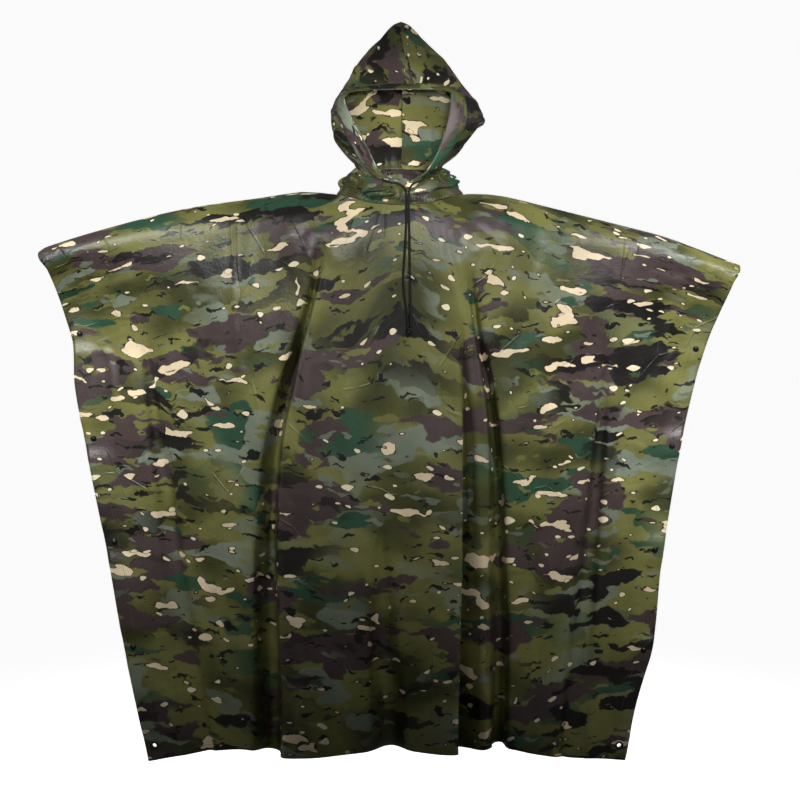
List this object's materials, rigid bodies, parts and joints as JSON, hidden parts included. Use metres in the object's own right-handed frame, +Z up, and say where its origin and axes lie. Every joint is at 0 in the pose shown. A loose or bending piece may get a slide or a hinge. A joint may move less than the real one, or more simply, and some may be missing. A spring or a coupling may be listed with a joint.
{
  "type": "rain poncho",
  "caption": "Hooded rain poncho worn with the arms held out: wide camouflage body cloth, gathered neck, open hood with drawcord, sides closed by snaps, eyelets at the hem corners.",
  "frame": {"origin": "middle of the neck at the height where the wearer's shoulders carry the cloth", "axes": "+Z up along the hanging body, +Y from the front of the garment to its back, +X to the right of someone who looks at its front"},
  "size_m": [1.397, 0.2996, 1.4891],
  "materials": {
    "camouflage_cloth": null,
    "black_cord": "matte braided cord",
    "black_snap": "black, semi-gloss",
    "black_eyelet": "black, semi-gloss, a little worn at the rim"
  },
  "bodies": {
    "root": {"front": "camouflage_cloth", "back": "camouflage_cloth", "neck_gather": "camouflage_cloth", "hood_left": "camouflage_cloth", "hood_right": "camouflage_cloth", "face_channel": "camouflage_cloth", "drawcord_left": "black_cord", "drawcord_right": "black_cord", "drawcord_knot": "black_cord", "snap_left_1": "black_snap", "snap_left_2": "black_snap", "snap_left_3": "black_snap", "snap_left_4": "black_snap", "snap_right_1": "black_snap", "snap_right_2": "black_snap", "snap_right_3": "black_snap", "snap_right_4": "black_snap", "eyelet_front_left": "black_eyelet", "eyelet_front_right": "black_eyelet", "eyelet_back_left": "black_eyelet", "eyelet_back_right": "black_eyelet"}
  },
  "joints": []
}
